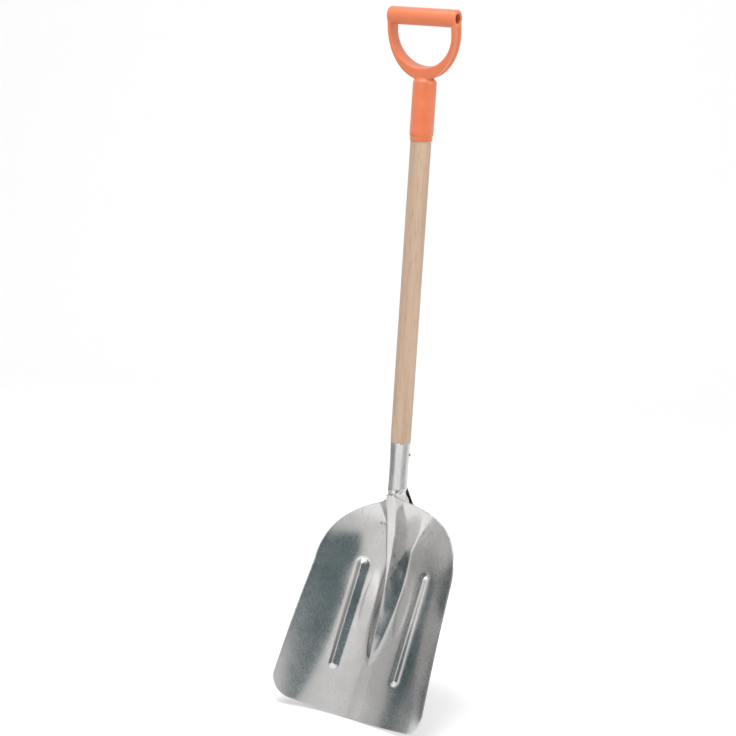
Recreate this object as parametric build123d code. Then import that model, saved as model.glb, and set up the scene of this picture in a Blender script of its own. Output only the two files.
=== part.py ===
from build123d import *

import math
import os

import numpy as np

# Grain scoop shovel: a pressed aluminium pan on a wooden shaft with a moulded D-grip.
# While it is modelled, the shaft's axis is Z, the scoop faces -Y and the pan's tip is near Z = 0.
# Lengths are in millimetres and angles in degrees.

# Overall
SHAFT_RADIUS = 18.0
HAND_BAR_HEIGHT = 1225.5
HAND_BAR_FORWARD = 17.5
GAP = 0.3
NEST_GAP = 1.6
SURFACE_TOLERANCE = 0.02

# Pan
SHEET = 2.0
LIFT = 26.75
TIP_FORWARD = 106.0
PAN_LENGTH = 388.5
TIP_HALF_WIDTH = 157.0
SHOULDER_HALF_WIDTH = 139.5
SHOULDER_START = 252.0
SHOULDER_POWER_ALONG = 2.26
SHOULDER_POWER_ACROSS = 2.1
CORNER_RADIUS = 35.0
TIP_BOW = 3.5
DISH_ENDS = 45.0
DISH_EXTRA = 10.0
DISH_POWER = 2.4
REAR_WALL_START = 0.55 * PAN_LENGTH
REAR_WALL_RISE = 36.0

# Frog: the hollow ridge that runs down the pan from the socket
FROG_TIP = 104.0
FROG_TIP_RISE = 4.0
FROG_CLIMB = 84.0
FROG_CLIMB_LENGTH = 269.0
FROG_CLIMB_POWER = 2.4
FROG_TIP_HALF_WIDTH = 8.0
FROG_SWELL = 15.0
FROG_SWELL_LENGTH = 120.0
FLARE_START = 310.0
FLARE_SLOPE = 0.42
FLARE_ROUND = 12.0
FROG_CREST_SHARPNESS = 0.4
FROG_REACH = 1.5
FROG_HOLLOW_START = 15.0
FROG_BULK = 200.0

# Crown: the rounded top of the frog, which wraps the socket and narrows away down the crest
CROWN_START = 215.0
CROWN_LENGTH = 115.0
CROWN_HALF_WIDTH = 20.5
CROWN_HEEL_HALF_WIDTH = 18.5
CROWN_DROP = 13.0
CROWN_FILLET = 8.0

# Ribs
RIB_OFFSET = 64.5
RIB_LOW = 72.0
RIB_HIGH = 280.0
RIB_HALF_WIDTH = 10.0
RIB_RISE = 4.0

# Socket
SOCKET_WALL = 1.8
SOCKET_MOUTH = 487.5
SOCKET_TUBE_BOTTOM = 404.0
SOCKET_WAIST = 437.0
SOCKET_WAIST_RADIUS = 16.6
SOCKET_FLARE = 0.0004
SOCKET_SEAM = 2.0
CHANNEL_BOTTOM = 345.0
CHANNEL_TOP = 390.0
CHANNEL_SHARE = 0.93

# Back plate
PLATE = 2.0
PLATE_FOOT = 262.0
PLATE_WIDEST = 347.0
PLATE_HEEL = 391.0
PLATE_NECK_TOP = 446.0
PLATE_FOOT_HALF_WIDTH = 12.0
PLATE_WIDEST_HALF_WIDTH = 52.0
PLATE_HEEL_HALF_WIDTH = 11.0
PLATE_NECK_HALF_WIDTH = 8.0

# Fasteners
FIT = 0.05
SHEET_DRILL = 12.0
PLATE_DRILL = 20.0
PLATE_RIVET_OFFSET = 44.0
FLANK_RIVET_HEIGHT = 368.0
FLANK_RIVET_SHARE = 0.4
NECK_SCREW_HEIGHTS = (424.0, 438.0)
SOCKET_NAIL_HEIGHT = 464.5
SOCKET_NAIL_ANGLE = 120.0
GRIP_SCREW_HEIGHT = 1062.0

# Shaft
SHAFT_END = 406.0
TENON_RADIUS = 14.6
TENON_MOUTH_RADIUS = 15.4
SHAFT_TOP = 1112.0

# Grip
COLLAR_RADIUS = 20.5
COLLAR_LIP_RADIUS = 19.4
COLLAR_BOTTOM = 1018.0
COLLAR_LIP = 10.0
COLLAR_TOP = 1120.0
COLLAR_SHOULDER = 4.0
COLLAR_ROUND = 9.0
GRIP_HALF_WIDTH = 65.5
GRIP_OUTER_DEPTH = 86.0
GRIP_OUTER_DROP = 19.0
GRIP_OPENING_HALF_WIDTH = 58.0
GRIP_OPENING_DEPTH = 57.0
GRIP_OPENING_DROP = 27.0
ARM_DEPTH = 27.0
ARM_ROUND = 3.0
HAND_BAR_RADIUS = 15.0
HAND_BAR_ROUND = 2.5
HAND_BAR_BORE = 8.4
GROOVE_WIDTH = 11.0
GROOVE_DEPTH = 2.2
GROOVE_TOP = 12.0

LIFT_SINE = math.sin(math.radians(LIFT))
LIFT_COSINE = math.cos(math.radians(LIFT))


# ---------------------------------------------------------------- pan surface

def on_pan(across, along, out):
    """Turn pan coordinates (across, up from the tip, out of its face) into points."""
    across, along, out = np.broadcast_arrays(across, along, out)
    y = along * LIFT_SINE - out * LIFT_COSINE - TIP_FORWARD
    z = along * LIFT_COSINE + out * LIFT_SINE
    return np.stack([across, y, z], axis=-1)


def pan_half_width(along):
    """Half the pan's width where its sides are straight."""
    return TIP_HALF_WIDTH + (SHOULDER_HALF_WIDTH - TIP_HALF_WIDTH) * along / SHOULDER_START


def pan_floor(across, along):
    """Height of the dished pan with its rear wall, before the frog and the ribs."""
    share = along / PAN_LENGTH
    dish = DISH_ENDS + 4 * DISH_EXTRA * share * (1 - share)
    sides = dish * (np.abs(across) / pan_half_width(along)) ** DISH_POWER
    climb = np.clip((along - REAR_WALL_START) / (PAN_LENGTH - REAR_WALL_START), 0, None)
    return sides + REAR_WALL_RISE * climb**3


def eased(value):
    """A smooth step from 0 to 1."""
    value = np.clip(value, 0, 1)
    return value * value * (3 - 2 * value)


def frog_half_width(along):
    """Half-width of the frog's foot: it swells up from the tip and flares out at the heel."""
    swell = np.sin(math.pi / 2 * np.clip((along - FROG_TIP) / FROG_SWELL_LENGTH, 0, 1))
    past = along - FLARE_START
    flare = FLARE_SLOPE * (np.sqrt(past**2 + FLARE_ROUND**2) + past) / 2
    return FROG_TIP_HALF_WIDTH + FROG_SWELL * swell + flare


def spread(count):
    """Places from -1 to 1 that lie closer together towards the ends."""
    even = np.linspace(-1, 1, count)
    return np.sign(even) * np.abs(even) ** 0.7


def frog_crest(along):
    """Height of the frog's crest."""
    climb = np.clip(along - FROG_TIP, 0, None) / FROG_CLIMB_LENGTH
    return FROG_TIP_RISE + FROG_CLIMB * climb**FROG_CLIMB_POWER


def crown_half_width(along):
    """Half-width of the crown."""
    start = np.clip((along - CROWN_START) / CROWN_LENGTH, 0.1, 1)
    heel = eased((along - CROWN_START - CROWN_LENGTH) / 50)
    return start * (CROWN_HALF_WIDTH + (CROWN_HEEL_HALF_WIDTH - CROWN_HALF_WIDTH) * heel)


def crown_height(across, along):
    """Height of the crown, which falls away steeply at its sides."""
    crest = frog_crest(along)
    return crest - (crest - pan_floor(0, along)) * np.abs(across / crown_half_width(along)) ** 3


def crown_face(share, along):
    """A point of the crown: share runs from 0 at the crest to 1 at its foot."""
    across = share * crown_half_width(along)
    return on_pan(across, along, crown_height(across, along))


def frog_face(share, along):
    """A point of the frog's face: share runs from 0 at the crest to 1 at its foot."""
    across = share * frog_half_width(along)
    drop = eased((along - CROWN_START) / (CROWN_LENGTH + 20)) * CROWN_DROP
    top = frog_crest(along) - drop
    sharp = FROG_CREST_SHARPNESS
    fall = (np.sqrt(share**2 + sharp**2) - sharp) / (math.sqrt(1 + sharp**2) - sharp)
    skirts = top - (top - pan_floor(0, along)) * fall
    crown = crown_height(across, along)
    fillet = np.maximum(CROWN_FILLET * drop / CROWN_DROP, 0.5)
    share = np.clip((1 + (crown - skirts) / fillet) / 2, 0, 1)
    return on_pan(across, along, skirts + (crown - skirts) * share + fillet * share * (1 - share))


def pan_face(across, along):
    """A point of the pan's front face, before the frog and the ribs."""
    return on_pan(across, along, pan_floor(across, along))


def outward_normal(face, across, along):
    """Unit direction out of the front of a face."""
    step = 0.01
    point = face(across, along)
    normal = np.cross(face(across + step, along) - point, face(across, along + step) - point)
    return normal / np.linalg.norm(normal, axis=-1, keepdims=True)


def behind(face, across, along, distance):
    """Points a set distance behind a face, square to it."""
    return face(across, along) - distance * outward_normal(face, across, along)


def surface(grid):
    """A smooth face through a grid of points."""
    return Face.make_surface_from_array_of_points(grid.tolist(), tol=SURFACE_TOLERANCE)


def sheet_solid(front, back):
    """Close two matching grids of points into one solid sheet."""
    skins = [surface(front), surface(back)]
    edges = zip(skins[0].edges(), skins[1].edges())
    rims = [ruled(one, other) for one, other in edges]
    return Solid(Shell(skins + rims))


def ruled(one, other):
    """The straight-lined face between two edges."""
    return Face.make_surface_from_curves(one, other)


def strip_solid(front, back):
    """Close two matching grids into one solid sheet of strips, one strip between two rows."""
    front_rows = [Edge.make_spline([Vector(*point) for point in row]) for row in front]
    back_rows = [Edge.make_spline([Vector(*point) for point in row]) for row in back]
    faces = [ruled(front_rows[0], back_rows[0]), ruled(front_rows[-1], back_rows[-1])]
    for rows in (front_rows, back_rows):
        faces += [ruled(low, high) for low, high in zip(rows, rows[1:])]
    for column in (0, -1):
        rails = []
        for grid in (front, back):
            ends = [Vector(*point) for point in grid[:, column]]
            rails.append([Edge.make_line(low, high) for low, high in zip(ends, ends[1:])])
        faces += [ruled(one, other) for one, other in zip(*rails)]
    return Solid(Shell(faces))


# ---------------------------------------------------------------- fasteners

def place_on(point, outward):
    """A location at point whose Z axis points outward."""
    return Plane(origin=tuple(point), z_dir=tuple(outward)).location


def stand_on(face, across, along):
    """A location on a face whose Z axis points out of its front."""
    return place_on(face(across, along), outward_normal(face, across, along))


def domed_head(radius, rise):
    """A low round head that stands on Z = 0."""
    ball = (radius**2 + rise**2) / (2 * rise)
    cap = Pos(0, 0, rise - ball) * Sphere(ball)
    return cap & Pos(0, 0, rise / 2) * Cylinder(radius, rise)


def rivet(shank, grip_length, head, rise, stand_off):
    """A rivet along Z whose front head stands just off Z = 0 and whose tail is below."""
    body = Pos(0, 0, stand_off - (grip_length + 2 * stand_off) / 2)
    body *= Cylinder(shank, grip_length + 2 * stand_off)
    front = Pos(0, 0, stand_off) * domed_head(head, rise)
    tail = Pos(0, 0, -grip_length - stand_off) * Rot(X=180) * domed_head(head, rise)
    return body + front + tail


def screw(shank, length, head, rise):
    """A round-headed screw that stands on Z = 0 and points down."""
    body = Pos(0, 0, (shank - length) / 2) * Cylinder(shank, length - shank)
    point = Pos(0, 0, shank / 2 - length) * Cone(shank * 0.2, shank, shank)
    return body + point + domed_head(head, rise)


def drill(radius, length):
    """A drill along Z, centred on Z = 0."""
    return Cylinder(radius, length)


FLANK_GRIP = SHEET + NEST_GAP + SOCKET_WALL + 0.5
PLATE_RIVET = {"shank": 3.0, "grip_length": SHEET + GAP + PLATE, "head": 5.0, "rise": 1.4}
FLANK_RIVET = {"shank": 2.0, "grip_length": FLANK_GRIP, "head": 3.0, "rise": 0.6}
NECK_SCREW = {"shank": 1.9, "length": 18.0, "head": 4.2, "rise": 2.0}
SOCKET_NAIL = {"shank": 1.4, "length": 15.0, "head": 2.7, "rise": 2.3}
GRIP_SCREW = {"shank": 1.9, "length": 20.0, "head": 4.0, "rise": 1.6}


def plate_rivet_places():
    """Where the rivets beside the frog stand."""
    sides = (-PLATE_RIVET_OFFSET, PLATE_RIVET_OFFSET)
    return [stand_on(pan_face, side, PLATE_WIDEST) for side in sides]


def flank_rivet_places():
    """Where the rivets through the frog's flanks stand."""
    sides = (-FLANK_RIVET_SHARE, FLANK_RIVET_SHARE)
    return [stand_on(crown_face, side, FLANK_RIVET_HEIGHT) for side in sides]


def neck_screw_places():
    """Where the screws through the back plate's neck stand."""
    places = []
    for height in NECK_SCREW_HEIGHTS:
        back = socket_radius(height) + GAP + PLATE + FIT
        places.append(place_on((0, back, height), (0, 1, 0)))
    return places


def socket_nail_place():
    """Where the nail through the side of the socket stands."""
    turn = math.radians(SOCKET_NAIL_ANGLE)
    outward = (math.sin(turn), -math.cos(turn), 0)
    reach = socket_radius(SOCKET_NAIL_HEIGHT) + FIT
    return place_on((reach * outward[0], reach * outward[1], SOCKET_NAIL_HEIGHT), outward)


def grip_screw_place():
    """Where the screw through the back of the grip's collar stands."""
    return place_on((0, COLLAR_RADIUS + FIT, GRIP_SCREW_HEIGHT), (0, 1, 0))


# ---------------------------------------------------------------- blade

def pan_outline():
    """The pan's outline as a flat face in the pan's own plane."""
    tip = TIP_HALF_WIDTH - CORNER_RADIUS
    corner = CORNER_RADIUS * math.sqrt(0.5)
    side_start = pan_half_width(CORNER_RADIUS)
    lean = TIP_HALF_WIDTH - side_start
    shoulder_length = PAN_LENGTH - SHOULDER_START
    crown = []
    for turn in np.linspace(0, math.pi / 2, 10):
        across = SHOULDER_HALF_WIDTH * math.cos(turn) ** (2 / SHOULDER_POWER_ACROSS)
        rise = shoulder_length * math.sin(turn) ** (2 / SHOULDER_POWER_ALONG)
        crown.append((across, SHOULDER_START + rise))
    crown += [(-across, along) for across, along in crown[-2::-1]]
    edges = [
        ThreePointArc((-tip, 0), (0, -TIP_BOW), (tip, 0)),
        ThreePointArc((tip, 0), (tip + corner - lean / 2, CORNER_RADIUS - corner),
                      (side_start, CORNER_RADIUS)),
        Line((side_start, CORNER_RADIUS), crown[0]),
        Spline(*crown, tangents=[(0, 1), (0, -1)]),
        Line(crown[-1], (-side_start, CORNER_RADIUS)),
        ThreePointArc((-side_start, CORNER_RADIUS),
                      (-tip - corner + lean / 2, CORNER_RADIUS - corner), (-tip, 0)),
    ]
    return make_face(Wire(edges))


def pan_plane():
    """The plane that the pan's heights are measured from."""
    return Plane(origin=(0, -TIP_FORWARD, 0), x_dir=(1, 0, 0), z_dir=(0, -LIFT_COSINE, LIFT_SINE))


def pan_grid(distance):
    """Points of the pan, a set distance behind its front face."""
    along = np.linspace(-10, PAN_LENGTH + 10, 15)[:, None]
    across = np.linspace(-1, 1, 17) * (pan_half_width(along) + 12)
    return behind(pan_face, across, along, distance)


def frog_solid(start, distance):
    """Everything behind the frog's face from start upwards, a set distance inside it."""
    along = np.linspace(start, PAN_LENGTH + 6, 16)[:, None]
    share = FROG_REACH * np.linspace(-1, 1, 17)
    skin = surface(behind(frog_face, share, along, distance))
    return Solid.extrude(skin, Vector(*pan_plane().z_dir) * -FROG_BULK)


def slot(half_width, low, high):
    """A tall bar with the rib's outline, on both sides of the middle."""
    length = RIB_HIGH - RIB_LOW - 2 * (RIB_HALF_WIDTH - half_width)
    middle = (RIB_LOW + RIB_HIGH) / 2
    outline = Rot(Z=90) * SlotOverall(length, 2 * half_width)
    bars = [Pos(side, middle) * outline for side in (-RIB_OFFSET, RIB_OFFSET)]
    return pan_plane() * Pos(0, 0, low) * extrude(Sketch() + bars, high - low)


def rib_layer(low, high):
    """The layer of space between two heights over the pan's back face."""
    out = Vector(*pan_plane().z_dir)
    return Solid.extrude(surface(pan_grid(SHEET)).moved(Location(out * low)), out * (high - low))


def make_blade():
    """The pressed pan with its hollow frog and ribs, trimmed to its outline and drilled."""
    out = Vector(*pan_plane().z_dir)
    pan = sheet_solid(pan_grid(0), pan_grid(SHEET))
    in_front = Solid.extrude(surface(pan_grid(SHEET)), out * FROG_BULK)
    blade = pan + (frog_solid(FROG_TIP, 0) & in_front)
    blade -= frog_solid(FROG_TIP + FROG_HOLLOW_START, SHEET)
    blade += slot(RIB_HALF_WIDTH - 1, -20, 60) & rib_layer(0, SHEET + RIB_RISE)
    blade -= slot(RIB_HALF_WIDTH - 1 - SHEET, -20, 60) & rib_layer(-5, RIB_RISE)
    blade &= pan_plane() * extrude(pan_outline(), FROG_BULK, both=True)
    for place in plate_rivet_places():
        blade -= place * drill(PLATE_RIVET["shank"] + FIT, PLATE_DRILL)
    for place in flank_rivet_places():
        blade -= place * drill(FLANK_RIVET["shank"] + FIT, SHEET_DRILL)
    return blade


# ---------------------------------------------------------------- socket and back plate

def socket_radius(height):
    """Outer radius of the socket's tube, which has a slight waist."""
    return SOCKET_WAIST_RADIUS + SOCKET_FLARE * (height - SOCKET_WAIST) ** 2


def tube_rows(heights, columns, inset):
    """Round sections of the socket's tube, open at the seam behind."""
    turn = columns * math.radians(180 - SOCKET_SEAM)
    radius = socket_radius(heights) - inset
    return np.stack(
        np.broadcast_arrays(radius * np.sin(turn), -radius * np.cos(turn), heights), axis=-1
    )


def socket_grid(inset):
    """Points of the socket: the nested channel, the neck and the round tube."""
    columns = np.linspace(-1, 1, 17)
    along = np.linspace(CHANNEL_BOTTOM, CHANNEL_TOP, 8)[:, None]
    channel = behind(crown_face, CHANNEL_SHARE * spread(17), along, SHEET + NEST_GAP + inset)
    heights = np.linspace(SOCKET_TUBE_BOTTOM, SOCKET_MOUTH, 9)[:, None]
    tube = tube_rows(heights, columns, inset)
    neck = [channel[-1] * (1 - share) + tube[0] * share for share in (0.35, 0.7)]
    return np.concatenate([channel, neck, tube])


def make_socket():
    """The rolled tube whose lower end opens into the channel inside the frog."""
    socket = strip_solid(socket_grid(0), socket_grid(SOCKET_WALL))
    for place in flank_rivet_places():
        socket -= place * drill(FLANK_RIVET["shank"] + FIT, SHEET_DRILL)
    for place in neck_screw_places():
        socket -= place * drill(NECK_SCREW["shank"] + FIT, SHEET_DRILL)
    return socket - socket_nail_place() * drill(SOCKET_NAIL["shank"] + FIT, SHEET_DRILL)


def plate_half_width(along):
    """Half-width of the back plate over the pan."""
    marks = (PLATE_FOOT, PLATE_WIDEST, PLATE_HEEL)
    widths = (PLATE_FOOT_HALF_WIDTH, PLATE_WIDEST_HALF_WIDTH, PLATE_HEEL_HALF_WIDTH)
    return np.interp(along, marks, widths)


def plate_grid(distance):
    """Points of the back plate, a set distance behind the pan and the tube."""
    columns = np.linspace(-1, 1, 9)
    along = np.linspace(PLATE_FOOT, PLATE_HEEL, 10)[:, None]
    foot = behind(pan_face, columns * plate_half_width(along), along, SHEET + GAP + distance)
    heights = np.linspace(SOCKET_TUBE_BOTTOM, PLATE_NECK_TOP, 4)[:, None]
    radius = socket_radius(heights)
    turn = columns * np.arcsin(PLATE_NECK_HALF_WIDTH / radius)
    radius = radius + GAP + distance
    neck = np.stack(
        np.broadcast_arrays(radius * np.sin(turn), radius * np.cos(turn), heights), axis=-1
    )
    bridge = [foot[-1] * (1 - share) + neck[0] * share for share in (0.33, 0.67)]
    return np.concatenate([foot, bridge, neck])


def make_back_plate():
    """The plate behind the frog, bent up over the heel to a neck on the tube."""
    plate = strip_solid(plate_grid(0), plate_grid(PLATE))
    for place in plate_rivet_places():
        plate -= place * drill(PLATE_RIVET["shank"] + FIT, PLATE_DRILL)
    for place in neck_screw_places():
        plate -= place * drill(NECK_SCREW["shank"] + FIT, SHEET_DRILL)
    return plate


# ---------------------------------------------------------------- shaft

def make_shaft():
    """The turned pole, with a tapered tenon in the socket and pilot holes for its fasteners."""
    shoulder = SOCKET_MOUTH + GAP
    profile = Polyline(
        (0, SHAFT_END),
        (TENON_RADIUS - 2, SHAFT_END),
        (TENON_RADIUS, SHAFT_END + 4),
        (TENON_RADIUS, SOCKET_WAIST + 8),
        (TENON_MOUTH_RADIUS, shoulder),
        (SHAFT_RADIUS - 0.6, shoulder),
        (SHAFT_RADIUS, shoulder + 2.5),
        (SHAFT_RADIUS, SHAFT_TOP - 3),
        (SHAFT_RADIUS - 3, SHAFT_TOP),
        (0, SHAFT_TOP),
        close=True,
    )
    shaft = revolve(Plane.XZ * make_face(profile), Axis.Z)
    for place in neck_screw_places():
        shaft -= place * drill(NECK_SCREW["shank"] + FIT, 2 * NECK_SCREW["length"] + 1)
    shaft -= grip_screw_place() * drill(GRIP_SCREW["shank"] + FIT, 2 * GRIP_SCREW["length"] + 1)
    return shaft - socket_nail_place() * drill(
        SOCKET_NAIL["shank"] + FIT, 2 * SOCKET_NAIL["length"] + 1
    )


# ---------------------------------------------------------------- grip

def grip_frame():
    """The D's own plane, leaning forward from the top of the collar."""
    lean = math.degrees(math.atan2(HAND_BAR_FORWARD, HAND_BAR_HEIGHT - COLLAR_TOP))
    return Pos(0, 0, COLLAR_TOP) * Rot(X=lean)


def hand_bar_rise():
    """How far the hand bar stands above the collar, measured in the D's plane."""
    return math.hypot(HAND_BAR_FORWARD, HAND_BAR_HEIGHT - COLLAR_TOP)


def half_oval(half_width, depth, top, centre):
    """A face that is square at the top and half an ellipse below centre."""
    wall = Polyline((-half_width, centre), (-half_width, top), (half_width, top),
                    (half_width, centre))
    bowl = EllipticalCenterArc((0, centre), half_width, depth, 180, arc_size=180)
    return make_face(Wire([*wall.edges(), bowl]))


def slab_of(outline, depth):
    """An outline in the D's plane made into a slab, centred front to back."""
    return Pos(0, depth / 2, 0) * extrude(Plane.XZ * outline, depth)


def make_arms(rise):
    """The two arms with their rounded edges and the groove around their outside."""
    outer_centre = rise - GRIP_OUTER_DROP
    outer = half_oval(GRIP_HALF_WIDTH, GRIP_OUTER_DEPTH, rise, outer_centre)
    opening = half_oval(
        GRIP_OPENING_HALF_WIDTH, GRIP_OPENING_DEPTH, rise + 1, rise - GRIP_OPENING_DROP
    )
    arms = slab_of(outer - opening, ARM_DEPTH)
    long_edges = arms.edges().filter_by(lambda edge: edge.length > HAND_BAR_RADIUS + 3)
    face_edges = long_edges.filter_by(lambda edge: abs(edge.center().Y) > ARM_DEPTH / 3)
    arms = fillet(face_edges.filter_by(lambda edge: edge.center().Z < rise - 1), ARM_ROUND)
    around = half_oval(
        GRIP_HALF_WIDTH + 5, GRIP_OUTER_DEPTH + 5, rise - GROOVE_TOP, outer_centre
    )
    core = half_oval(
        GRIP_HALF_WIDTH - GROOVE_DEPTH, GRIP_OUTER_DEPTH - GROOVE_DEPTH, rise, outer_centre
    )
    return arms - slab_of(around - core, GROOVE_WIDTH)


def make_collar():
    """The round sleeve over the shaft's end, with a lip at its mouth."""
    bottom = COLLAR_BOTTOM + COLLAR_LIP
    height = COLLAR_TOP + COLLAR_SHOULDER - bottom
    sleeve = Pos(0, 0, bottom + height / 2) * Cylinder(COLLAR_RADIUS, height)
    sleeve = fillet(sleeve.edges().group_by(Axis.Z)[-1], COLLAR_ROUND)
    return sleeve + Pos(0, 0, COLLAR_BOTTOM + COLLAR_LIP / 2) * Cylinder(COLLAR_LIP_RADIUS, COLLAR_LIP)


def make_grip():
    """The moulded D-grip: collar, grooved arms and hollow hand bar in one piece."""
    rise = hand_bar_rise()
    along_bar = Pos(0, 0, rise) * Rot(Y=90)
    bar = along_bar * Cylinder(HAND_BAR_RADIUS, 2 * GRIP_HALF_WIDTH)
    bar = fillet(bar.edges().filter_by(GeomType.CIRCLE), HAND_BAR_ROUND)
    grip = make_collar() + grip_frame() * (make_arms(rise) + bar)
    grip -= grip_frame() * along_bar * Cylinder(HAND_BAR_BORE, 4 * GRIP_HALF_WIDTH)
    depth = SHAFT_TOP + 1 - COLLAR_BOTTOM
    grip -= Pos(0, 0, COLLAR_BOTTOM + depth / 2) * Cylinder(SHAFT_RADIUS + 0.1, depth)
    return grip - grip_screw_place() * drill(GRIP_SCREW["shank"] + FIT, SHEET_DRILL)


# ---------------------------------------------------------------- assembly

def group(places, piece):
    """Copies of one fastener as a group of separate solids."""
    return Compound(children=[place * piece for place in places])


def make_parts():
    """Every piece of the shovel by name, in the shaft's frame."""
    plate_rivet = rivet(stand_off=0.4, **PLATE_RIVET)
    flank_rivet = rivet(stand_off=0.3, **FLANK_RIVET)
    return {
        "blade": make_blade(),
        "socket": make_socket(),
        "back_plate": make_back_plate(),
        "plate_rivets": group(plate_rivet_places(), plate_rivet),
        "flank_rivets": group(flank_rivet_places(), flank_rivet),
        "neck_screws": group(neck_screw_places(), screw(**NECK_SCREW)),
        "socket_nail": socket_nail_place() * screw(**SOCKET_NAIL),
        "shaft": make_shaft(),
        "grip": make_grip(),
        "grip_screw": grip_screw_place() * screw(**GRIP_SCREW),
    }


def main():
    """Write each piece, with the origin under the middle of the whole shovel."""
    parts = make_parts()
    box = Compound(children=[piece.moved(Location()) for piece in parts.values()]).bounding_box()
    shift = Pos(-box.center().X, -box.center().Y, -box.min.Z)
    os.makedirs("parts", exist_ok=True)
    for name, piece in parts.items():
        export_step(shift * piece, f"parts/{name}.step")


main()
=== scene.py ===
"""The looks of the grain scoop shovel: fine meshes, materials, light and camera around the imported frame."""

import math

import bpy
import numpy as np
from mathutils import Matrix, Vector


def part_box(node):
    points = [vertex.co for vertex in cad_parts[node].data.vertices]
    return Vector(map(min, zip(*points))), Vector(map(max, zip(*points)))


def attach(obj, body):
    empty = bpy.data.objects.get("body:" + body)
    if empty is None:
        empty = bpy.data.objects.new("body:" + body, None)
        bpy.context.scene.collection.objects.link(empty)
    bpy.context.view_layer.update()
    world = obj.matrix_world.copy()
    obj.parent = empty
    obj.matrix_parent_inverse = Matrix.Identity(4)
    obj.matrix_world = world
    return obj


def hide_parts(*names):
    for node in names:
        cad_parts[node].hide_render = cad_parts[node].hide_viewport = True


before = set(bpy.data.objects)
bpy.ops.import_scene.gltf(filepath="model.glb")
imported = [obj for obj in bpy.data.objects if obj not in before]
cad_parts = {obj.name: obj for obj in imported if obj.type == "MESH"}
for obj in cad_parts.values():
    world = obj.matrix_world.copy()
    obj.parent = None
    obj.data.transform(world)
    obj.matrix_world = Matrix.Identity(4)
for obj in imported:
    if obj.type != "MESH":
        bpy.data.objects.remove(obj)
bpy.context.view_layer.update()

# Everything is measured from the shaft's box: its axis, and its 36 mm thickness as the unit of length.
SHAFT_LOW, SHAFT_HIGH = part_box("shaft")
BLADE_LOW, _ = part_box("blade")
_, GRIP_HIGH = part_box("grip")
_, SOCKET_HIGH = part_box("socket")
MM = (SHAFT_HIGH.x - SHAFT_LOW.x) / 36
AXIS = (SHAFT_LOW + SHAFT_HIGH) / 2

# Pan
SHEET = 2 * MM
LIFT = math.radians(26.75)
TIP_BOW = 3.5 * MM
TIP_FORWARD = 106 * MM
TIP_Y = AXIS.y - TIP_FORWARD
TIP_Z = BLADE_LOW.z + TIP_BOW * math.cos(LIFT) + SHEET * math.sin(LIFT)
PAN_LENGTH = 388.5 * MM
TIP_HALF_WIDTH = 157 * MM
SHOULDER_HALF_WIDTH = 139.5 * MM
SHOULDER_START = 252 * MM
SHOULDER_POWER_ALONG = 2.26
SHOULDER_POWER_ACROSS = 2.1
CORNER_RADIUS = 35 * MM
DISH_ENDS = 45 * MM
DISH_EXTRA = 10 * MM
DISH_POWER = 2.4
REAR_WALL_START = 0.55 * PAN_LENGTH
REAR_WALL_RISE = 36 * MM
REAR_WALL_POWER = 3
HEEL_SPLIT = math.radians(42)
RIM_ROUND = 0.35 * MM
SLOPE_STEP = 0.05 * MM
PAN_ROWS = 330
PAN_COLUMNS = 251
PAN_MIDDLE_PULL = 0.45

# Frog and ribs
FROG_TIP = 92 * MM
FROG_TIP_LENGTH = 62 * MM
FROG_TIP_RISE = 7 * MM
FROG_CLIMB = 84 * MM
FROG_CLIMB_LENGTH = 269 * MM
FROG_CLIMB_POWER = 2.4
CREST_BEND = 5 * MM
CREST_FORWARD = 3.5 * MM
CREST_BEND_START = 300 * MM
CREST_BEND_LENGTH = 35 * MM
FROG_TIP_HALF_WIDTH = 5 * MM
FROG_SWELL = 17 * MM
FROG_SWELL_LENGTH = 155 * MM
FROG_WAIST = 2.5 * MM
FROG_WAIST_LENGTH = 70 * MM
FLARE_START = 310 * MM
FLARE_SLOPE = 0.42
FLARE_ROUND = 12 * MM
FROG_CREST_SHARPNESS = 0.1
FROG_FILLET = 3 * MM
FROG_HEEL_FILLET = 16 * MM
HEEL_FILLET_START = FLARE_START + 30 * MM
HEEL_FILLET_LENGTH = 60 * MM
CROWN_START = 215 * MM
CROWN_LENGTH = 115 * MM
CROWN_HALF_WIDTH = 20.5 * MM
CROWN_HEEL_HALF_WIDTH = 18.5 * MM
CROWN_DROP = 13 * MM
CROWN_FADE_LENGTH = CROWN_LENGTH + 20 * MM
CROWN_HEEL_START = CROWN_START + CROWN_LENGTH
CROWN_HEEL_LENGTH = 50 * MM
CROWN_POWER = 3
CROWN_HEEL_POWER = 4.5
CROWN_FILLET_SHARE = 0.3
CREST_FILLET = 0.2 * MM
RIB_OFFSET = 64.5 * MM
RIB_LOW = 82 * MM
RIB_HIGH = 268 * MM
RIB_LOW_HALF_WIDTH = 8.5 * MM
RIB_HIGH_HALF_WIDTH = 10 * MM
RIB_CREST_SHARPNESS = 0.2
RIB_RISE = 6.3 * MM
RIB_FILLET = 2.4 * MM
LOBE_OFFSET = 36 * MM
LOBE_MIDDLE = 208 * MM
LOBE_HALF_WIDTH = 13 * MM
LOBE_HALF_LENGTH = 62 * MM
LOBE_RISE = 1.3 * MM

# Socket
SOCKET_WALL = 1.8 * MM
SOCKET_WAIST = SOCKET_HIGH.z - 50.5 * MM
SOCKET_WAIST_RADIUS = 16.6 * MM
SOCKET_FLARE = 0.0004 / MM
SOCKET_SEAM = math.radians(2)
TUBE_BOTTOM = SOCKET_HIGH.z - 83.5 * MM
CHANNEL_BOTTOM = 345 * MM
CHANNEL_TOP = 390 * MM
CHANNEL_SHARE = 0.93
CHANNEL_EDGE_PUSH = 0.4
NEST_GAP = 0.4 * MM

# Grip
GRIP_WELD = 0.01 * MM
GRIP_CELL = 0.9 * MM
GRIP_SMOOTHING = 0.5
GRIP_SMOOTHING_PASSES = 6

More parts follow.
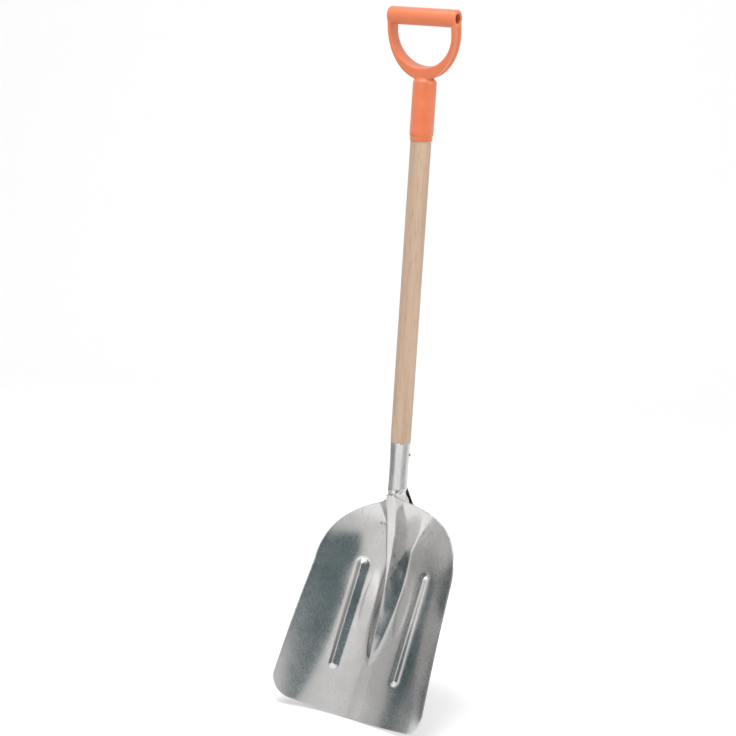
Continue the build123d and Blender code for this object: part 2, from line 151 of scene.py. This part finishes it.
# Camera, set against the shaft's axis and the hand bar's height
CAMERA_AZIMUTH = math.radians(30)
CAMERA_DISTANCE = 2901.6 * MM
CAMERA_HEIGHT = GRIP_HIGH.z - 15 * MM
CAMERA_HEADING = math.radians(31.3)
CAMERA_PITCH = math.radians(11.849)
CAMERA_ROLL = math.radians(3.614)
CAMERA_LENS = 82.55
CAMERA_SENSOR = 36
CAMERA_FAR = 50

# Stage, in metres
FLOOR_FRONT = 6.0
FLOOR_DEPTH = 4.0
FLOOR_HALF_WIDTH = 6.0
BACKDROP_HEIGHT = 5.0
BACKDROP_BEND = 1.5
LAMP_TARGET = 0.5
CARD_TARGET = 0.3
WORLD_STRENGTH = 0.9


# ---------------------------------------------------------------- meshes

def on_pan(across, along, out):
    """Turn pan coordinates (across, up from the tip, out of its face) into points."""
    across, along, out = np.broadcast_arrays(across, along, out)
    y = TIP_Y + along * math.sin(LIFT) - out * math.cos(LIFT)
    z = TIP_Z + along * math.cos(LIFT) + out * math.sin(LIFT)
    return np.stack([across + AXIS.x, y, z], axis=-1)


def pan_half_width(along):
    """Half the pan's width where its sides are straight."""
    return TIP_HALF_WIDTH + (SHOULDER_HALF_WIDTH - TIP_HALF_WIDTH) * along / SHOULDER_START


def pan_floor(across, along):
    """Height of the dished pan with its rear wall, before the frog and the ribs."""
    share = along / PAN_LENGTH
    dish = DISH_ENDS + 4 * DISH_EXTRA * share * (1 - share)
    sides = dish * (np.abs(across) / pan_half_width(along)) ** DISH_POWER
    climb = np.clip((along - REAR_WALL_START) / (PAN_LENGTH - REAR_WALL_START), 0, None)
    return sides + REAR_WALL_RISE * climb**REAR_WALL_POWER


def eased(value):
    """A smooth step from 0 to 1."""
    value = np.clip(value, 0, 1)
    return value * value * (3 - 2 * value)


def highest(one, other, fillet):
    """The higher of two heights, with a rounded inside corner."""
    return (one + other + np.sqrt((one - other) ** 2 + fillet**2)) / 2


def ridge_fall(share, sharp):
    """How far a ridge has come down, from 0 on its rounded crest to 1 at its foot."""
    return (np.sqrt(share**2 + sharp**2) - sharp) / (math.sqrt(1 + sharp**2) - sharp)


def frog_half_width(along):
    """Half-width of the frog's foot: it swells up from the tip and flares out at the heel."""
    swell = np.sin(math.pi / 2 * np.clip((along - FROG_TIP) / FROG_SWELL_LENGTH, 0, 1))
    waist = FROG_WAIST * eased((along - FROG_TIP - FROG_SWELL_LENGTH) / FROG_WAIST_LENGTH)
    past = along - FLARE_START
    flare = FLARE_SLOPE * (np.sqrt(past**2 + FLARE_ROUND**2) + past) / 2
    return FROG_TIP_HALF_WIDTH + FROG_SWELL * swell - waist + flare


def socket_radius(height):
    """Outer radius of the socket's tube, which has a slight waist."""
    return SOCKET_WAIST_RADIUS + SOCKET_FLARE * (height - SOCKET_WAIST) ** 2


def tube_front(along):
    """Height over the pan of a line that runs up just in front of the socket's tube."""
    forward = socket_radius(TUBE_BOTTOM) + NEST_GAP + SHEET + CREST_FORWARD
    return (along * math.sin(LIFT) + forward - TIP_FORWARD) / math.cos(LIFT)


def frog_crest(along):
    """Height of the frog's crest: a short end, a curve up to the socket, then the tube's own line."""
    climb = np.clip(along - FROG_TIP, 0, None) / FROG_CLIMB_LENGTH
    end = FROG_TIP_RISE * eased((along - FROG_TIP) / FROG_TIP_LENGTH)
    curve = end + FROG_CLIMB * climb**FROG_CLIMB_POWER
    beyond = highest(curve - tube_front(along), 0, CREST_BEND)
    return curve - beyond * eased((along - CREST_BEND_START) / CREST_BEND_LENGTH)


def crown_half_width(along):
    """Half-width of the rounded crown that wraps the socket, which narrows away down the crest."""
    start = np.clip((along - CROWN_START) / CROWN_LENGTH, 0.01, 1)
    heel = eased((along - CROWN_HEEL_START) / CROWN_HEEL_LENGTH)
    return start * (CROWN_HALF_WIDTH + (CROWN_HEEL_HALF_WIDTH - CROWN_HALF_WIDTH) * heel)


def crown_height(across, along):
    """Height of the frog's rounded crown, which is blunter where it meets the socket."""
    depth = frog_crest(along) - pan_floor(0, along)
    heel = eased((along - CROWN_HEEL_START) / CROWN_HEEL_LENGTH)
    power = CROWN_POWER + (CROWN_HEEL_POWER - CROWN_POWER) * heel
    return frog_crest(along) - depth * np.abs(across / crown_half_width(along)) ** power


def frog_height(across, along):
    """Height of the frog: a sharp ridge below, and a round crown with skirts above."""
    drop = CROWN_DROP * eased((along - CROWN_START) / CROWN_FADE_LENGTH)
    top = frog_crest(along) - drop
    fall = ridge_fall(across / frog_half_width(along), FROG_CREST_SHARPNESS)
    skirts = top - (top - pan_floor(0, along)) * fall
    crown = crown_height(across, along)
    return highest(skirts, crown, CROWN_FILLET_SHARE * drop + CREST_FILLET)


def rib_height(across, along):
    """Height of the two long ribs: low ridges with rounded ends that widen upwards."""
    beyond = along - np.clip(along, RIB_LOW, RIB_HIGH)
    climb = np.clip((along - RIB_LOW) / (RIB_HIGH - RIB_LOW), 0, 1)
    half_width = RIB_LOW_HALF_WIDTH + (RIB_HIGH_HALF_WIDTH - RIB_LOW_HALF_WIDTH) * climb
    reach = np.hypot(np.abs(across) - RIB_OFFSET, beyond) / half_width
    rise = RIB_RISE * (1 - ridge_fall(reach, RIB_CREST_SHARPNESS))
    return highest(rise, 0, RIB_FILLET)


def lobe_height(across, along):
    """Height of the two shallow swellings between the frog and the ribs."""
    over = (np.abs(across) - LOBE_OFFSET) / LOBE_HALF_WIDTH
    up = (along - LOBE_MIDDLE) / LOBE_HALF_LENGTH
    return LOBE_RISE * eased(1 - over**2 - up**2)


def pan_face(across, along):
    """A point of the pressed pan's front face."""
    floor = pan_floor(across, along) + lobe_height(across, along)
    fillet = FROG_FILLET * eased((along - FROG_TIP) / FROG_TIP_LENGTH)
    fillet = fillet + FROG_HEEL_FILLET * eased((along - HEEL_FILLET_START) / HEEL_FILLET_LENGTH)
    height = highest(floor, frog_height(across, along), fillet)
    return on_pan(across, along, height + rib_height(across, along))


def crown_face(share, along):
    """A point of the frog's crown, carried on below the pan: share runs from 0 to 1 at its foot."""
    across = share * crown_half_width(along)
    return on_pan(across, along, crown_height(across, along))


def behind(face, across, along, distance):
    """Points a set distance behind a face, square to it."""
    point = face(across, along)
    over = face(across + SLOPE_STEP, along) - face(across - SLOPE_STEP, along)
    up = face(across, along + SLOPE_STEP) - face(across, along - SLOPE_STEP)
    normal = np.cross(over, up)
    return point - distance * normal / np.linalg.norm(normal, axis=-1, keepdims=True)


def new_piece(name, points, faces):
    """A smooth-shaded mesh object that rides on the shovel."""
    mesh = bpy.data.meshes.new(name)
    mesh.from_pydata(points.tolist(), [], faces)
    mesh.shade_smooth()
    mesh.update()
    piece = bpy.data.objects.new(name, mesh)
    bpy.context.scene.collection.objects.link(piece)
    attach(piece, "root")
    return piece


def sheet_piece(name, front, back, bulge):
    """Close two matching grids of points into a sheet whose rim is slightly rounded."""
    rows, columns = front.shape[:2]
    number = np.arange(rows * columns).reshape(rows, columns)
    quads = np.stack([number[:-1, :-1], number[:-1, 1:], number[1:, 1:], number[1:, :-1]], -1)
    quads = quads.reshape(-1, 4)
    faces = [tuple(quad) for quad in quads.tolist()]
    faces += [tuple(quad[::-1]) for quad in (quads + rows * columns).tolist()]
    rim = [*number[0, :-1], *number[:-1, -1], *number[-1, :0:-1], *number[:0:-1, 0]]
    inner = [*number[1, :-1], *number[:-1, -2], *number[-2, :0:-1], *number[:0:-1, 1]]
    points = front.reshape(-1, 3)
    behind_points = back.reshape(-1, 3)
    outward = points[rim] - points[inner]
    outward /= np.linalg.norm(outward, axis=-1, keepdims=True)
    loops = [np.array(rim)]
    extra = []
    for share in (0.2, 0.5, 0.8):
        ring = points[rim] * (1 - share) + behind_points[rim] * share
        extra.append(ring + outward * bulge * math.sin(math.pi * share))
        loops.append(np.arange(len(rim)) + 2 * rows * columns + len(rim) * (len(extra) - 1))
    loops.append(np.array(rim) + rows * columns)
    for one, other in zip(loops, loops[1:]):
        strip = np.stack([one, other, np.roll(other, -1), np.roll(one, -1)], -1)
        faces += [tuple(quad) for quad in strip.tolist()]
    return new_piece(name, np.concatenate([points, behind_points, *extra]), faces)


def arc(centre, radius, start, end, count):
    """Points along a round corner, from one angle to another in degrees."""
    turn = np.radians(np.linspace(start, end, count))
    return np.stack([centre[0] + radius * np.cos(turn), centre[1] + radius * np.sin(turn)], -1)


def resampled(line, places):
    """Points at shares of a line's length."""
    length = np.concatenate([[0], np.cumsum(np.linalg.norm(np.diff(line, axis=0), axis=-1))])
    return np.stack([np.interp(places * length[-1], length, line[:, axis]) for axis in (0, 1)], -1)


def pan_sides():
    """The pan's outline in four stretches: along the tip, up the right side, over the heel, left."""
    side_start = pan_half_width(CORNER_RADIUS)
    centre = (side_start - CORNER_RADIUS, CORNER_RADIUS)
    across = np.linspace(0, centre[0], 80)
    bow = np.stack([across, -TIP_BOW * (1 - (across / centre[0]) ** 2)], -1)
    tip = np.concatenate([bow, arc(centre, CORNER_RADIUS, -90, -45, 60)[1:]])
    turn = np.linspace(0, math.pi / 2, 900)
    heel_across = SHOULDER_HALF_WIDTH * np.cos(turn) ** (2 / SHOULDER_POWER_ACROSS)
    heel_length = PAN_LENGTH - SHOULDER_START
    heel_along = SHOULDER_START + heel_length * np.sin(turn) ** (2 / SHOULDER_POWER_ALONG)
    heel = np.stack([heel_across, heel_along], -1)
    split = int(np.argmin(np.abs(turn - HEEL_SPLIT)))
    side = np.concatenate([arc(centre, CORNER_RADIUS, -45, 0, 60), heel[: split + 1]])
    mirror = np.array([-1, 1])
    low = np.concatenate([(tip * mirror)[:0:-1], tip])
    high = np.concatenate([heel[split:] * mirror, heel[-2 : split - 1 : -1]])
    return low, side, high, side * mirror


def pan_outline_grid(rows, columns):
    """Pan coordinates of a grid that fills the outline, finer near the middle."""
    low, right, high, left = pan_sides()
    even = np.linspace(-1, 1, columns)
    across = 0.5 + 0.5 * even * (1 - PAN_MIDDLE_PULL + PAN_MIDDLE_PULL * even**2)
    up = np.linspace(0, 1, rows)
    low, high = resampled(low, across), resampled(high, across)
    left, right = resampled(left, up), resampled(right, up)
    s, t = across[None, :, None], up[:, None, None]
    sides = (1 - t) * low[None] + t * high[None] + (1 - s) * left[:, None] + s * right[:, None]
    corners = (1 - s) * (1 - t) * low[0] + s * (1 - t) * low[-1]
    corners = corners + (1 - s) * t * high[0] + s * t * high[-1]
    grid = sides - corners
    return grid[..., 0], grid[..., 1]


def make_blade():
    """The pressed aluminium pan."""
    across, along = pan_outline_grid(PAN_ROWS, PAN_COLUMNS)
    front = pan_face(across, along)
    return sheet_piece("pan", front, behind(pan_face, across, along, SHEET), RIM_ROUND)


def tube_rows(heights, columns, inset):
    """Round sections of the socket's tube, open at the seam behind."""
    turn = columns * (math.pi - SOCKET_SEAM)
    radius = socket_radius(heights) - inset
    x, y, z = np.broadcast_arrays(radius * np.sin(turn), -radius * np.cos(turn), heights)
    return np.stack([x + AXIS.x, y + AXIS.y, z], axis=-1)


def socket_grid(inset):
    """Points of the socket: the channel in the frog, the neck and the round tube."""
    columns = np.linspace(-1, 1, 161)
    along = np.linspace(CHANNEL_BOTTOM, CHANNEL_TOP, 40)[:, None]
    share = CHANNEL_SHARE * columns * (1 + CHANNEL_EDGE_PUSH - CHANNEL_EDGE_PUSH * columns**2)
    channel = behind(crown_face, share, along, SHEET + NEST_GAP + inset)
    heights = np.linspace(TUBE_BOTTOM, SOCKET_HIGH.z, 80)[:, None]
    tube = tube_rows(heights, columns, inset)
    # The neck leaves the channel and meets the tube along their own directions.
    span = np.linalg.norm(tube[0] - channel[-1], axis=-1, keepdims=True)
    leave = channel[-1] - channel[-2]
    leave = leave / np.linalg.norm(leave, axis=-1, keepdims=True) * span
    arrive = tube[1] - tube[0]
    arrive = arrive / np.linalg.norm(arrive, axis=-1, keepdims=True) * span
    neck = []
    for t in np.linspace(0, 1, 14)[1:-1]:
        stay = 2 * t**3 - 3 * t**2 + 1
        point = stay * channel[-1] + (1 - stay) * tube[0]
        point = point + (t**3 - 2 * t**2 + t) * leave + (t**3 - t**2) * arrive
        neck.append(point)
    return np.concatenate([channel, np.array(neck), tube])


def make_socket():
    """The rolled aluminium tube."""
    return sheet_piece("socket_tube", socket_grid(0), socket_grid(SOCKET_WALL), RIM_ROUND)


def make_grip():
    """The moulded D-grip, with its edges and joins softened as a moulding's are."""
    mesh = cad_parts["grip"].data.copy()
    mesh.name = "d_grip"
    piece = bpy.data.objects.new("d_grip", mesh)
    bpy.context.scene.collection.objects.link(piece)
    weld = piece.modifiers.new("weld", "WELD")
    weld.merge_threshold = GRIP_WELD
    remesh = piece.modifiers.new("remesh", "REMESH")
    remesh.mode = "VOXEL"
    remesh.voxel_size = GRIP_CELL
    smooth = piece.modifiers.new("smooth", "SMOOTH")
    smooth.factor = GRIP_SMOOTHING
    smooth.iterations = GRIP_SMOOTHING_PASSES
    bpy.context.view_layer.update()
    depsgraph = bpy.context.evaluated_depsgraph_get()
    final = bpy.data.meshes.new_from_object(piece.evaluated_get(depsgraph))
    piece.modifiers.clear()
    piece.data = final
    final.shade_smooth()
    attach(piece, "root")
    return piece


# ---------------------------------------------------------------- materials

class Shader:
    """A new material with short ways to add its nodes."""

    def __init__(self, name, **values):
        self.material = bpy.data.materials.new(name)
        self.material.use_nodes = True
        self.tree = self.material.node_tree
        self.shader = self.tree.nodes["Principled BSDF"]
        for key, value in values.items():
            self.shader.inputs[key.replace("_", " ")].default_value = value
        self.place = self.tree.nodes.new("ShaderNodeTexCoord").outputs["Object"]

    def feed(self, socket, value):
        """Link a node's output, or set a plain value."""
        if isinstance(value, bpy.types.NodeSocket):
            self.tree.links.new(value, socket)
        else:
            socket.default_value = value

    def stretched(self, scale, turn=(0, 0, 0)):
        """The object's coordinates, turned and stretched."""
        node = self.tree.nodes.new("ShaderNodeMapping")
        node.inputs["Scale"].default_value = scale
        node.inputs["Rotation"].default_value = turn
        self.feed(node.inputs["Vector"], self.place)
        return node.outputs["Vector"]

    def noise(self, vector, scale, detail=3.0, distortion=0.0):
        """Soft random shading between 0 and 1."""
        node = self.tree.nodes.new("ShaderNodeTexNoise")
        node.inputs["Scale"].default_value = scale
        node.inputs["Detail"].default_value = detail
        node.inputs["Distortion"].default_value = distortion
        self.feed(node.inputs["Vector"], vector)
        return node.outputs["Fac"]

    def ramp(self, value, stops):
        """Colours along a value: (place, colour) pairs."""
        node = self.tree.nodes.new("ShaderNodeValToRGB")
        elements = node.color_ramp.elements
        while len(elements) < len(stops):
            elements.new(0.5)
        for element, (place, colour) in zip(elements, stops):
            element.position = place
            element.color = (*colour, 1)
        self.feed(node.inputs["Fac"], value)
        return node.outputs["Color"]

    def math(self, kind, one, other):
        """Arithmetic on two values."""
        node = self.tree.nodes.new("ShaderNodeMath")
        node.operation = kind
        self.feed(node.inputs[0], one)
        self.feed(node.inputs[1], other)
        return node.outputs[0]

    def between(self, value, low, high):
        """Spread the middle of a noise's range, 0.3 to 0.7, between two values."""
        node = self.tree.nodes.new("ShaderNodeMapRange")
        node.inputs["From Min"].default_value = 0.3
        node.inputs["From Max"].default_value = 0.7
        node.inputs["To Min"].default_value = low
        node.inputs["To Max"].default_value = high
        self.feed(node.inputs["Value"], value)
        return node.outputs["Result"]

    def mixed(self, factor, one, other):
        """A mix of two colours."""
        node = self.tree.nodes.new("ShaderNodeMix")
        node.data_type = "RGBA"
        self.feed(node.inputs["Factor"], factor)
        self.feed(node.inputs["A"], one)
        self.feed(node.inputs["B"], other)
        return node.outputs["Result"]

    def bump(self, height, distance, strength=1.0):
        """Relief in the shader's normal."""
        node = self.tree.nodes.new("ShaderNodeBump")
        node.inputs["Distance"].default_value = distance
        node.inputs["Strength"].default_value = strength
        self.feed(node.inputs["Height"], height)
        self.feed(self.shader.inputs["Normal"], node.outputs["Normal"])

    def edge(self):
        """How far the surface turns away from the viewer, from 0 to 1: the mask for painted shade along
        outlines.
        """
        node = self.tree.nodes.new("ShaderNodeLayerWeight")
        node.inputs["Blend"].default_value = 0.2
        return node.outputs["Facing"]

    def set(self, name, value):
        """Feed one of the shader's inputs."""
        self.feed(self.shader.inputs[name], value)


def aluminium(name, turn, streak, low, high, tint):
    """Rolled aluminium: fine streaks one way, cloudy polish between two roughnesses, a few scratches."""
    metal = Shader(name, Metallic=1.0)
    fine = metal.noise(metal.stretched(streak, turn), scale=1.0, detail=4.0)
    cloud = metal.noise(metal.place, scale=14.0, detail=3.0)
    narrow = (streak[0] * 1.7, streak[1] * 1.7, 9.0)
    scratch = metal.noise(metal.stretched(narrow, turn), scale=1.0, detail=1.0)
    scratch = metal.ramp(scratch, [(0.66, (0, 0, 0)), (0.72, (1, 1, 1))])
    dull = tuple(0.86 * part for part in tint)
    colour = metal.ramp(cloud, [(0.3, dull), (0.7, tint)])
    metal.set("Base Color", metal.mixed(scratch, colour, (*[0.7 * part for part in tint], 1)))
    rough = metal.between(cloud, low, high)
    rough = metal.math("ADD", rough, metal.between(fine, -0.03, 0.05))
    metal.set("Roughness", metal.math("ADD", rough, metal.math("MULTIPLY", scratch, 0.12)))
    metal.bump(fine, distance=0.006 * MM, strength=0.5)
    return metal.material


def dark_steel():
    """Steel coloured near-black, with a worn, mottled skin; the black is partly painted shade along the
    plate's edge beside the socket.
    """
    metal = Shader("dark_steel", Metallic=0.7)
    mottle = metal.noise(metal.place, scale=60.0, detail=6.0)
    # Partly painted shade: the near-black colour stands in for the shade along the plate's edge beside the
    # socket.
    black = metal.ramp(mottle, [(0.3, (0.03, 0.03, 0.03)), (0.7, (0.09, 0.085, 0.08))])
    metal.set("Base Color", black)
    metal.set("Roughness", metal.between(mottle, 0.4, 0.65))
    metal.bump(metal.noise(metal.place, scale=900.0, detail=3.0), distance=0.05 * MM, strength=0.4)
    return metal.material


def fastener(name, light, dark):
    """A hammered or driven head: small dents and a darker bloom."""
    metal = Shader(name, Metallic=1.0)
    mottle = metal.noise(metal.place, scale=180.0, detail=4.0)
    metal.set("Base Color", metal.ramp(mottle, [(0.35, dark), (0.65, light)]))
    metal.set("Roughness", metal.between(mottle, 0.28, 0.5))
    metal.bump(metal.noise(metal.place, scale=420.0, detail=2.0), distance=0.08 * MM, strength=0.5)
    return metal.material


def wood():
    """Pale sanded wood whose grain runs along the shaft, darkened towards its outline by painted shade."""
    board = Shader("shaft_wood", Specular_IOR_Level=0.3)
    grain = board.noise(board.stretched((75, 75, 3.2)), scale=1.0, detail=5.0, distortion=0.6)
    pores = board.noise(board.stretched((900, 900, 26)), scale=1.0, detail=2.0)
    browns = [(0.32, (0.42, 0.29, 0.2)), (0.5, (0.475, 0.335, 0.24)), (0.68, (0.52, 0.375, 0.275))]
    band = board.ramp(grain, browns)
    pore = board.ramp(pores, [(0.3, (1, 1, 1)), (0.42, (0, 0, 0))])
    band = board.mixed(pore, band, (0.34, 0.225, 0.155, 1))
    # Painted shade: the wood darkens where its surface turns away from the viewer, towards the outline.
    board.set("Base Color", board.mixed(board.edge(), band, (0.36, 0.29, 0.225, 1)))
    board.set("Roughness", board.between(grain, 0.62, 0.5))
    board.bump(pores, distance=0.06 * MM, strength=0.5)
    return board.material


def plastic():
    """Moulded coral plastic with a fine satin grain, slightly rubbed patches and painted shade towards its
    outline.
    """
    skin = Shader("grip_plastic", Specular_IOR_Level=0.5)
    rub = skin.noise(skin.place, scale=30.0, detail=4.0)
    coral = skin.ramp(rub, [(0.3, (0.63, 0.155, 0.058)), (0.7, (0.7, 0.175, 0.07))])
    # Painted shade: the coral darkens to a dull brown where the surface turns away from the viewer, towards
    # the outline.
    skin.set("Base Color", skin.mixed(skin.edge(), coral, (0.42, 0.19, 0.115, 1)))
    skin.set("Roughness", skin.between(rub, 0.28, 0.4))
    skin.bump(skin.noise(skin.place, scale=1400.0, detail=2.0), distance=0.03 * MM, strength=0.5)
    return skin.material


def paint(target, material):
    """Give a piece its one material."""
    target.data.materials.clear()
    target.data.materials.append(material)


# ---------------------------------------------------------------- stage

def make_floor():
    """A pale floor that curves up into a backdrop."""
    bend_start = FLOOR_DEPTH - BACKDROP_BEND
    profile = [(-FLOOR_FRONT, 0.0), (bend_start, 0.0)]
    for turn in np.linspace(0, math.pi / 2, 24)[1:]:
        profile.append((bend_start + BACKDROP_BEND * math.sin(turn), BACKDROP_BEND * (1 - math.cos(turn))))
    profile.append((FLOOR_DEPTH, BACKDROP_HEIGHT))
    points = [(side, y, z) for y, z in profile for side in (-FLOOR_HALF_WIDTH, FLOOR_HALF_WIDTH)]
    faces = [(2 * i, 2 * i + 1, 2 * i + 3, 2 * i + 2) for i in range(len(profile) - 1)]
    mesh = bpy.data.meshes.new("backdrop")
    mesh.from_pydata(points, [], faces)
    mesh.shade_smooth()
    floor = bpy.data.objects.new("backdrop", mesh)
    floor.rotation_euler.z = CAMERA_HEADING
    bpy.context.scene.collection.objects.link(floor)
    shade = Shader("backdrop_white", Roughness=0.9, Specular_IOR_Level=0.1)
    shade.set("Base Color", (0.92, 0.92, 0.92, 1))
    mesh.materials.append(shade.material)


def aimed(thing, place, target):
    """Put a lamp or a card at a place, facing a target."""
    thing.location = place
    thing.rotation_euler = (Vector(target) - Vector(place)).to_track_quat("-Z", "Y").to_euler()


def around(azimuth, distance, height):
    """A place round the shovel; azimuth 0 is in front of the pan, 90 to its right."""
    turn = math.radians(azimuth)
    return (AXIS.x + distance * math.sin(turn), AXIS.y - distance * math.cos(turn), height)


def add_light(name, azimuth, distance, height, size, power):
    """A soft rectangular lamp aimed at the shovel's middle."""
    lamp = bpy.data.lights.new(name, "AREA")
    lamp.shape = "RECTANGLE"
    lamp.size, lamp.size_y = size
    lamp.energy = power
    piece = bpy.data.objects.new(name, lamp)
    bpy.context.scene.collection.objects.link(piece)
    aimed(piece, around(azimuth, distance, height), (AXIS.x, AXIS.y, LAMP_TARGET))


def add_card(name, azimuth, distance, height, size, colour, glow=0.0):
    """A plain or glowing card that shows only in the metal's reflections."""
    half_width, half_height = size[0] / 2, size[1] / 2
    corners = [(-half_width, -half_height, 0), (half_width, -half_height, 0),
               (half_width, half_height, 0), (-half_width, half_height, 0)]
    mesh = bpy.data.meshes.new(name)
    mesh.from_pydata(corners, [], [(0, 1, 2, 3)])
    card = bpy.data.objects.new(name, mesh)
    bpy.context.scene.collection.objects.link(card)
    aimed(card, around(azimuth, distance, height), (AXIS.x, AXIS.y, CARD_TARGET))
    shade = Shader(name, Roughness=1.0, Specular_IOR_Level=0.0, Emission_Strength=glow)
    shade.set("Base Color", (*colour, 1))
    shade.set("Emission Color", (*colour, 1))
    mesh.materials.append(shade.material)
    card.visible_camera = False
    card.visible_shadow = False
    card.visible_diffuse = False


def make_world():
    """Even white surroundings."""
    world = bpy.data.worlds.new("studio")
    world.use_nodes = True
    world.node_tree.nodes["Background"].inputs["Color"].default_value = (1, 1, 1, 1)
    world.node_tree.nodes["Background"].inputs["Strength"].default_value = WORLD_STRENGTH
    bpy.context.scene.world = world


def make_camera():
    """The camera, at the viewing angle of a standing onlooker."""
    forward = Vector((-math.sin(CAMERA_HEADING) * math.cos(CAMERA_PITCH),
                      math.cos(CAMERA_HEADING) * math.cos(CAMERA_PITCH),
                      -math.sin(CAMERA_PITCH)))
    right = Vector((math.cos(CAMERA_HEADING), math.sin(CAMERA_HEADING), 0))
    up = right.cross(forward)
    side = right * math.cos(CAMERA_ROLL) + up * math.sin(CAMERA_ROLL)
    top = up * math.cos(CAMERA_ROLL) - right * math.sin(CAMERA_ROLL)
    lens = bpy.data.cameras.new("camera")
    lens.lens = CAMERA_LENS
    lens.sensor_width = CAMERA_SENSOR
    lens.clip_end = CAMERA_FAR
    camera = bpy.data.objects.new("camera", lens)
    camera.matrix_world = Matrix.Translation(
        around(math.degrees(CAMERA_AZIMUTH), CAMERA_DISTANCE, CAMERA_HEIGHT)
    ) @ Matrix((side, top, -forward)).transposed().to_4x4()
    bpy.context.scene.collection.objects.link(camera)
    bpy.context.scene.camera = camera


# ---------------------------------------------------------------- the shovel

pan_metal = aluminium("pan_aluminium", turn=(LIFT, 0, 0), streak=(420, 420, 16),
                      low=0.16, high=0.24, tint=(0.64, 0.632, 0.626))
tube_metal = aluminium("socket_aluminium", turn=(0, 0, 0), streak=(500, 500, 14),
                       low=0.2, high=0.3, tint=(0.66, 0.65, 0.64))
steel = fastener("screw_steel", (0.34, 0.33, 0.31), (0.2, 0.19, 0.18))

pan = make_blade()
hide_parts("blade")
paint(pan, pan_metal)

tube = make_socket()
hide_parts("socket")
paint(tube, tube_metal)

handle = make_grip()
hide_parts("grip")
paint(handle, plastic())

paint(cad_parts["shaft"], wood())
paint(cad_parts["back_plate"], dark_steel())
rivet_metal = fastener("rivet_aluminium", (0.6, 0.6, 0.59), (0.38, 0.38, 0.37))
for node in ("plate_rivets", "flank_rivets"):
    paint(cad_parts[node], rivet_metal)
for node in ("neck_screws", "socket_nail", "grip_screw"):
    paint(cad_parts[node], steel)

make_floor()
make_world()

# Lamps and cards: azimuth in degrees, distance, height and size in metres, then power or colour.
add_light("top", -10, 1.0, 3.2, (1.6, 1.0), 45)
add_light("side", 95, 2.6, 2.0, (1.2, 1.6), 25)
add_card("dark_right", 33, 2.4, 1.55, (1.95, 1.9), (0.115, 0.16, 0.17))
add_card("dark_side", 80, 1.8, 0.65, (2.3, 1.6), (0.12, 0.16, 0.17))
add_card("dark_left", -87, 1.5, 0.29, (2.7, 0.66), (0.055, 0.095, 0.105))
add_card("dark_foot", -88, 0.7, 0.05, (0.7, 0.1), (0.14, 0.17, 0.18))
add_card("grey_front", -50, 2.2, 1.2, (1.6, 1.3), (0.5, 0.5, 0.495))
add_card("bright_front", -3, 2.1, 1.8, (2.1, 0.3), (1.0, 0.99, 0.98), 1.2)
add_card("dark_low", -52, 1.2, 0.13, (1.5, 0.22), (0.2, 0.2, 0.195))
add_card("grey_low", 98, 1.2, 0.13, (1.6, 0.22), (0.42, 0.41, 0.405))
make_camera()
bpy.context.scene.view_settings.view_transform = "Standard"
